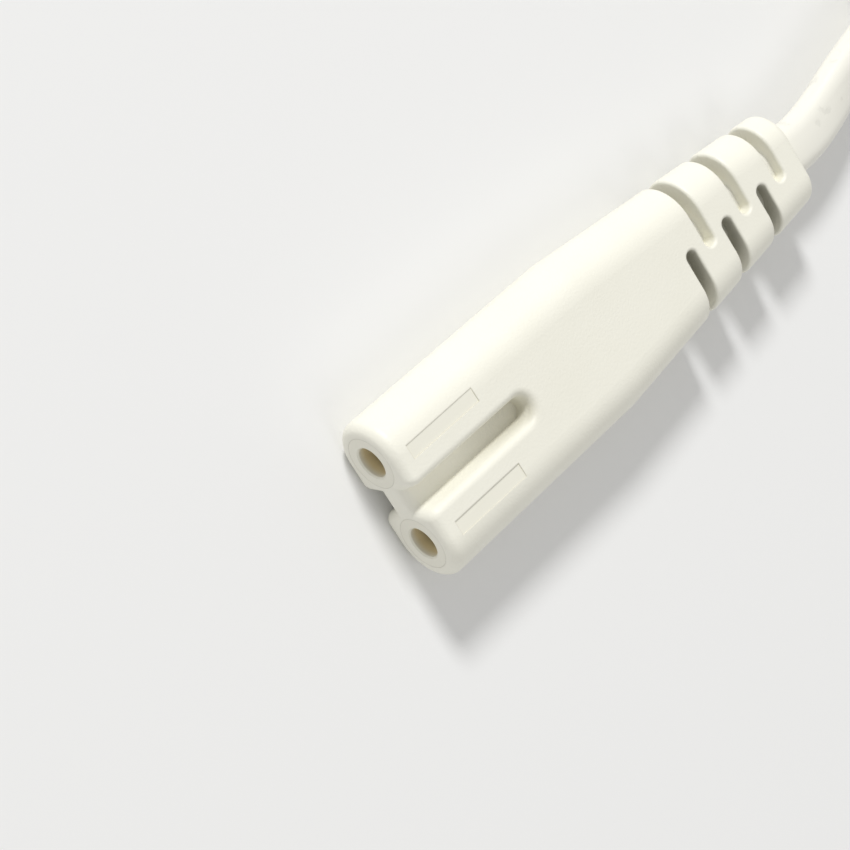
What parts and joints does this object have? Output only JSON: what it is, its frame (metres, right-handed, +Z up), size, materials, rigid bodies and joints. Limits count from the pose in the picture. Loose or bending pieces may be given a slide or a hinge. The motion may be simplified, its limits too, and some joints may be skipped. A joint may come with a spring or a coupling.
{
  "type": "figure eight power connector",
  "caption": "Flat figure-eight appliance connector moulded on a flat mains lead, with a grooved nose, a slotted strain relief and a pin plug on the folded lead.",
  "frame": {"origin": "bottom centre of the connector's own box, on the surface it lies on, cord and plug left out", "axes": "+Y along the connector from its face towards the cord, +X across the poles, +Z up"},
  "size_m": [0.0522, 0.219, 0.0253],
  "materials": {
    "white_moulding": "satin",
    "carrier_plastic": "satin",
    "cord_sheath": "satin",
    "contact_metal": "bright",
    "pin_metal": "nickel plated",
    "sleeve_plastic": "satin",
    "copper_strand": "bare copper",
    "core_brown": "satin",
    "core_blue": "satin",
    "tie_plastic": "satin"
  },
  "bodies": {
    "root": {"connector_body": "white_moulding", "plug_body": "white_moulding", "contact_carrier": "carrier_plastic", "plug_bridge": "carrier_plastic", "cord_lead": "cord_sheath", "cord_hank": "cord_sheath", "cord_tail": "cord_sheath", "contact_left": "contact_metal", "contact_right": "contact_metal", "plug_pin_left": "pin_metal", "plug_pin_right": "pin_metal", "pin_sleeve_left": "sleeve_plastic", "pin_sleeve_right": "sleeve_plastic", "strand_left": "copper_strand", "strand_right": "copper_strand", "plug_strand_left": "copper_strand", "plug_strand_right": "copper_strand", "core_left": "core_brown", "plug_core_left": "core_brown", "core_right": "core_blue", "plug_core_right": "core_blue", "tie_left": "tie_plastic", "tie_right": "tie_plastic"}
  },
  "joints": []
}
